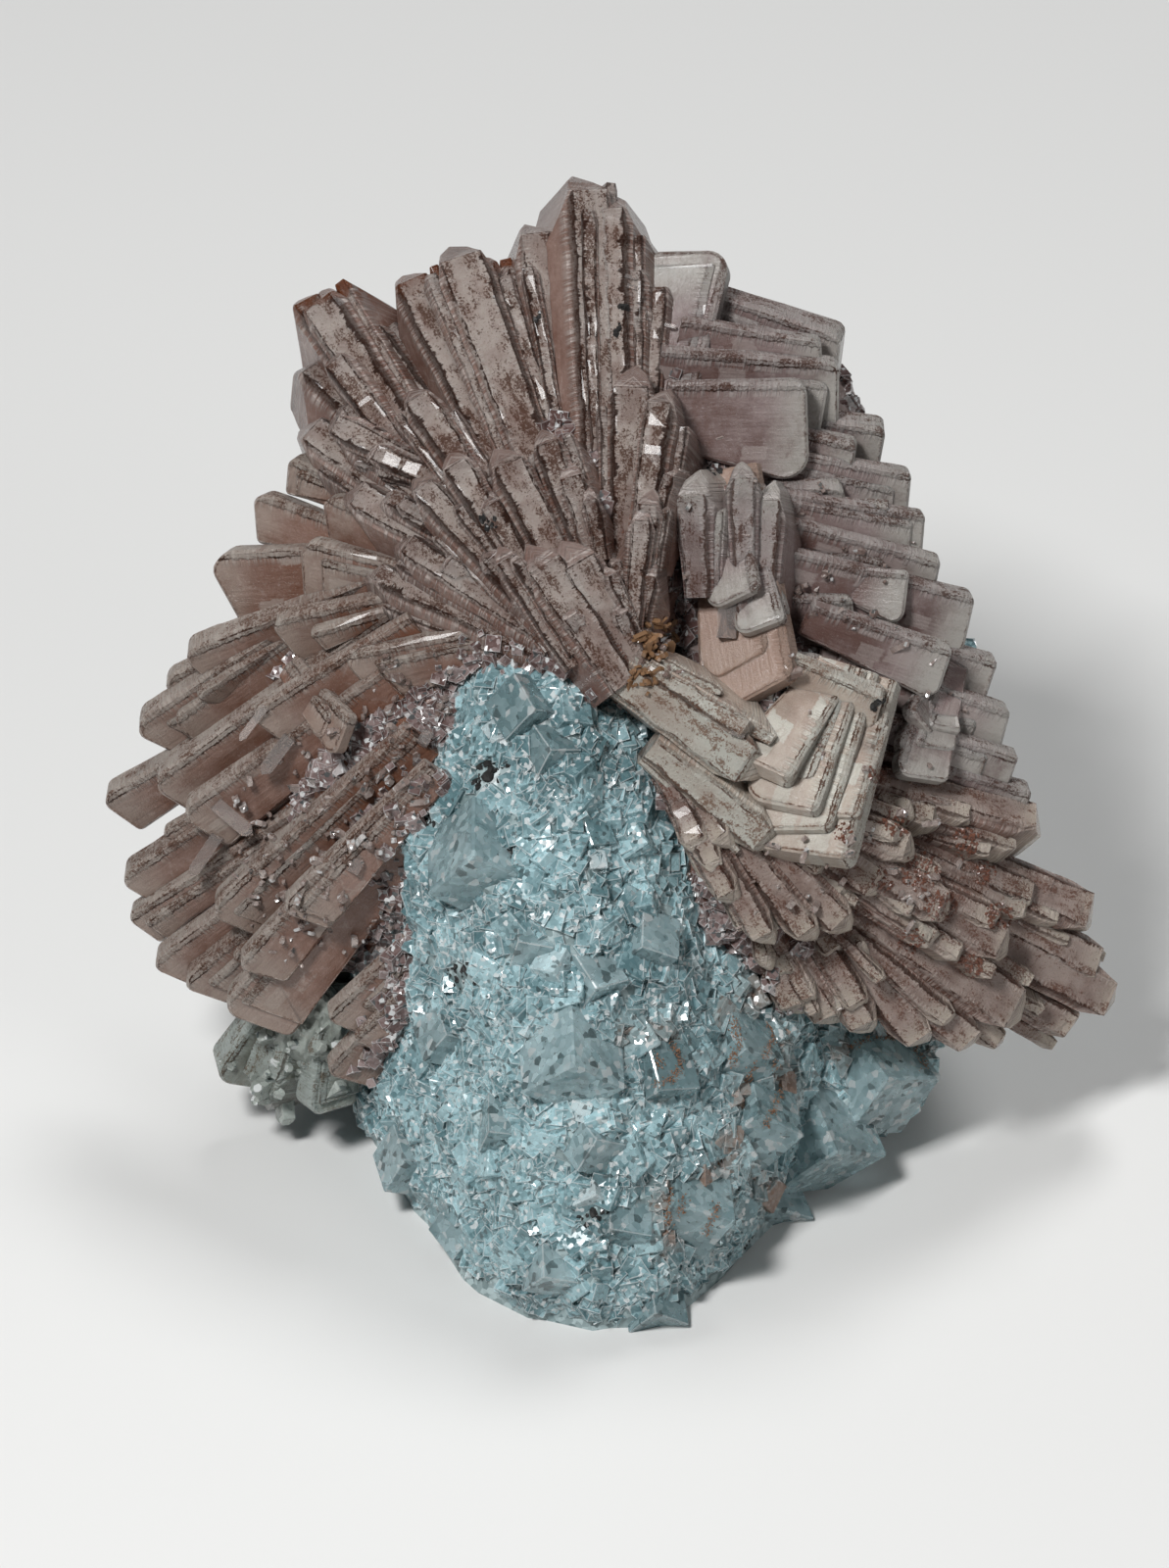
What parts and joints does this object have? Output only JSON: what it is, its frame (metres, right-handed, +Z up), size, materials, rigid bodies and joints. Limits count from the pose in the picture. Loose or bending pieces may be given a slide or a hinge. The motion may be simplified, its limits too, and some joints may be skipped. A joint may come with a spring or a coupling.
{
  "type": "barite specimen on fluorite matrix",
  "caption": "Mineral specimen: fans of pinkish tabular barite crystals on a druse of pale fluorite cubes, flat underneath so that it stands on a shelf.",
  "frame": {"origin": "middle of the flat face that the specimen rests on", "axes": "+Z up, -Y towards the druse at the front, +X to the right as seen from the front"},
  "size_m": [0.1053, 0.0836, 0.0936],
  "materials": {
    "fluorite": "glassy cubes",
    "pink_barite": "pearly, brown outlines",
    "salmon_barite": "pearly, translucent",
    "grey_barite": "pearly, grey tint",
    "cream_barite": "satin",
    "brown_barite": "rusty crust",
    "white_barite": "satin"
  },
  "bodies": {
    "root": {"fluorite_matrix": "fluorite", "barite_top_fan": "pink_barite", "barite_left_fan": "salmon_barite", "barite_right_plates": "grey_barite", "barite_cream_block": "cream_barite", "barite_lower_right_spray": "brown_barite", "white_barite_blocks": "white_barite"}
  },
  "joints": []
}
